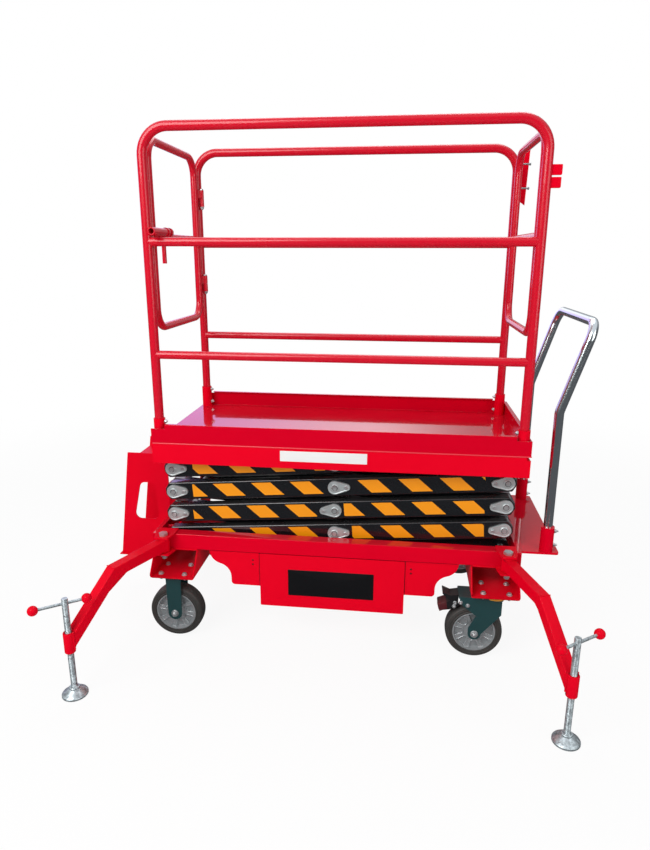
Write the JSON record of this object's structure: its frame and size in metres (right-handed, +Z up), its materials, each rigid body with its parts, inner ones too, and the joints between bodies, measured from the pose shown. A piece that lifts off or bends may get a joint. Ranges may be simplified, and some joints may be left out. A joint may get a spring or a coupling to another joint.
{
  "type": "mobile scissor lift",
  "caption": "Red mobile scissor lift on casters with guard rails, swing-out screw jacks and a push handle",
  "frame": {"origin": "on the floor under the middle of the chassis", "axes": "+X along the long side to the push handle, +Y to the rear guard side, +Z up"},
  "size_m": [1.8161, 1.6074, 1.8705],
  "materials": {
    "red_enamel": "glossy enamel",
    "black_paint": "semi-gloss paint with orange-yellow hazard tape on the outer faces",
    "keeper_steel": "grey cast plates and turned pins",
    "zinc_steel": "zinc plated",
    "chrome": "polished",
    "green_paint": "dark green paint",
    "hub_plastic": "moulded grey",
    "tyre_rubber": "dark grey rubber",
    "dark_plastic": "moulded black"
  },
  "bodies": {
    "chassis": {"chassis_frame": "red_enamel", "caster_beams": "red_enamel", "outrigger_lugs": "red_enamel", "hinge_bolts": "zinc_steel", "skirts": "red_enamel", "covers": "red_enamel", "pack_tray": "red_enamel", "power_pack": "dark_plastic", "end_box": "red_enamel", "handle_shelf": "red_enamel", "push_handle": "chrome", "fixed_forks": "green_paint", "swivel_mounts": "zinc_steel"},
    "outer_arm_1": {"outer_arm_1": "black_paint", "arm_pins_1": "keeper_steel"},
    "inner_arm_1": {"inner_arm_1": "black_paint"},
    "outer_arm_2": {"outer_arm_2": "black_paint", "arm_pins_2": "keeper_steel"},
    "inner_arm_2": {"inner_arm_2": "black_paint"},
    "outer_arm_3": {"outer_arm_3": "black_paint", "arm_pins_3": "keeper_steel"},
    "inner_arm_3": {"inner_arm_3": "black_paint"},
    "outer_arm_4": {"outer_arm_4": "black_paint", "arm_pins_4": "keeper_steel"},
    "inner_arm_4": {"inner_arm_4": "black_paint"},
    "platform": {"platform_frame": "red_enamel", "deck_tray": "red_enamel", "post_sockets": "red_enamel", "front_guard": "red_enamel", "rear_guard": "red_enamel", "end_guard": "red_enamel", "gate_hinges": "zinc_steel"},
    "gate": {"gate": "red_enamel"},
    "ram_barrel": {"ram_barrel": "black_paint"},
    "ram_rod": {"ram_rod": "chrome"},
    "wheel_front_left": {"wheel_front_left": "hub_plastic", "tyre_front_left": "tyre_rubber"},
    "swivel_front_right": {"swivel_fork_front_right": "green_paint", "brake_pedal_front_right": "dark_plastic"},
    "wheel_front_right": {"wheel_front_right": "hub_plastic", "tyre_front_right": "tyre_rubber"},
    "wheel_rear_left": {"wheel_rear_left": "hub_plastic", "tyre_rear_left": "tyre_rubber"},
    "swivel_rear_right": {"swivel_fork_rear_right": "green_paint", "brake_pedal_rear_right": "dark_plastic"},
    "wheel_rear_right": {"wheel_rear_right": "hub_plastic", "tyre_rear_right": "tyre_rubber"},
    "outrigger_front_left": {"outrigger_front_left": "red_enamel"},
    "jack_front_left": {"jack_front_left": "zinc_steel"},
    "outrigger_front_right": {"outrigger_front_right": "red_enamel"},
    "jack_front_right": {"jack_front_right": "zinc_steel"},
    "outrigger_rear_left": {"outrigger_rear_left": "red_enamel"},
    "jack_rear_left": {"jack_rear_left": "zinc_steel"},
    "outrigger_rear_right": {"outrigger_rear_right": "red_enamel"},
    "jack_rear_right": {"jack_rear_right": "zinc_steel"}
  },
  "joints": [
    {"name": "lift", "type": "hinge", "parent": "chassis", "child": "outer_arm_1", "pos_m": [-0.61707, 0, 0.384], "axis": [0, -1, 0], "range_deg": [0, 40]},
    {"name": "middle_pin_1", "type": "hinge", "parent": "outer_arm_1", "child": "inner_arm_1", "pos_m": [0.00625, 0, 0.42975], "axis": [0, -1, 0], "range_deg": [-80, 0]},
    {"name": "left_pin_2", "type": "hinge", "parent": "inner_arm_1", "child": "outer_arm_2", "pos_m": [-0.61707, 0, 0.4755], "axis": [0, -1, 0], "range_deg": [0, 80]},
    {"name": "middle_pin_2", "type": "hinge", "parent": "outer_arm_2", "child": "inner_arm_2", "pos_m": [0.00625, 0, 0.52125], "axis": [0, -1, 0], "range_deg": [-80, 0]},
    {"name": "left_pin_3", "type": "hinge", "parent": "inner_arm_2", "child": "outer_arm_3", "pos_m": [-0.61707, 0, 0.567], "axis": [0, -1, 0], "range_deg": [0, 80]},
    {"name": "middle_pin_3", "type": "hinge", "parent": "outer_arm_3", "child": "inner_arm_3", "pos_m": [0.00625, 0, 0.61275], "axis": [0, -1, 0], "range_deg": [-80, 0]},
    {"name": "left_pin_4", "type": "hinge", "parent": "inner_arm_3", "child": "outer_arm_4", "pos_m": [-0.61707, 0, 0.6585], "axis": [0, -1, 0], "range_deg": [0, 80]},
    {"name": "middle_pin_4", "type": "hinge", "parent": "outer_arm_4", "child": "inner_arm_4", "pos_m": [0.00625, 0, 0.70425], "axis": [0, -1, 0], "range_deg": [-80, 0]},
    {"name": "platform_pin", "type": "hinge", "parent": "inner_arm_4", "child": "platform", "pos_m": [-0.61707, 0, 0.75], "axis": [0, -1, 0], "range_deg": [0, 40]},
    {"name": "ram_pin", "type": "hinge", "parent": "inner_arm_1", "child": "ram_barrel", "pos_m": [-0.24308, 0, 0.44805], "axis": [0, -1, 0], "range_deg": [0, 92]},
    {"name": "ram_stroke", "type": "slide", "parent": "ram_barrel", "child": "ram_rod", "axis": [0.994, 0, 0.1094], "range_m": [0, 0.121]},
    {"name": "gate_hinge", "type": "hinge", "parent": "platform", "child": "gate", "pos_m": [-0.61607, 0.2675, 1.5], "axis": [0, 0, 1], "range_deg": [0, 90]},
    {"name": "wheel_front_left", "type": "hinge", "parent": "chassis", "child": "wheel_front_left", "pos_m": [-0.60307, -0.318, 0.104], "axis": [0, 1, 0], "continuous": true},
    {"name": "swivel_front_right", "type": "hinge", "parent": "chassis", "child": "swivel_front_right", "pos_m": [0.60307, -0.318, 0.25], "axis": [0, 0, 1], "continuous": true},
    {"name": "wheel_front_right", "type": "hinge", "parent": "swivel_front_right", "child": "wheel_front_right", "pos_m": [0.53407, -0.318, 0.104], "axis": [0, 1, 0], "continuous": true},
    {"name": "wheel_rear_left", "type": "hinge", "parent": "chassis", "child": "wheel_rear_left", "pos_m": [-0.60307, 0.318, 0.104], "axis": [0, 1, 0], "continuous": true},
    {"name": "swivel_rear_right", "type": "hinge", "parent": "chassis", "child": "swivel_rear_right", "pos_m": [0.60307, 0.318, 0.25], "axis": [0, 0, 1], "continuous": true},
    {"name": "wheel_rear_right", "type": "hinge", "parent": "swivel_rear_right", "child": "wheel_rear_right", "pos_m": [0.53407, 0.318, 0.104], "axis": [0, 1, 0], "continuous": true},
    {"name": "outrigger_front_left", "type": "hinge", "parent": "chassis", "child": "outrigger_front_left", "pos_m": [-0.63607, -0.342, 0.387], "axis": [0, 0, -1], "range_deg": [-106.9, 18.1]},
    {"name": "jack_front_left", "type": "slide", "parent": "outrigger_front_left", "child": "jack_front_left", "axis": [0, 0, 1], "range_m": [0, 0.12]},
    {"name": "outrigger_front_right", "type": "hinge", "parent": "chassis", "child": "outrigger_front_right", "pos_m": [0.63607, -0.342, 0.387], "axis": [0, 0, 1], "range_deg": [-99.4, 25.6]},
    {"name": "jack_front_right", "type": "slide", "parent": "outrigger_front_right", "child": "jack_front_right", "axis": [0, 0, 1], "range_m": [0, 0.12]},
    {"name": "outrigger_rear_left", "type": "hinge", "parent": "chassis", "child": "outrigger_rear_left", "pos_m": [-0.63607, 0.342, 0.387], "axis": [0, 0, 1], "range_deg": [-106.9, 18.1]},
    {"name": "jack_rear_left", "type": "slide", "parent": "outrigger_rear_left", "child": "jack_rear_left", "axis": [0, 0, 1], "range_m": [0, 0.12]},
    {"name": "outrigger_rear_right", "type": "hinge", "parent": "chassis", "child": "outrigger_rear_right", "pos_m": [0.63607, 0.342, 0.387], "axis": [0, 0, -1], "range_deg": [-99.4, 25.6]},
    {"name": "jack_rear_right", "type": "slide", "parent": "outrigger_rear_right", "child": "jack_rear_right", "axis": [0, 0, 1], "range_m": [0, 0.12]}
  ],
  "couplings": [
    {"joint": "middle_pin_1", "follows": "lift", "ratio": -2},
    {"joint": "left_pin_2", "follows": "lift", "ratio": 2},
    {"joint": "middle_pin_2", "follows": "lift", "ratio": -2},
    {"joint": "left_pin_3", "follows": "lift", "ratio": 2},
    {"joint": "middle_pin_3", "follows": "lift", "ratio": -2},
    {"joint": "left_pin_4", "follows": "lift", "ratio": 2},
    {"joint": "middle_pin_4", "follows": "lift", "ratio": -2},
    {"joint": "platform_pin", "follows": "lift", "ratio": 1},
    {"joint": "ram_pin", "follows": "lift", "ratio": 2.28},
    {"joint": "ram_stroke", "follows": "lift", "m_per_rad": 0.172}
  ]
}
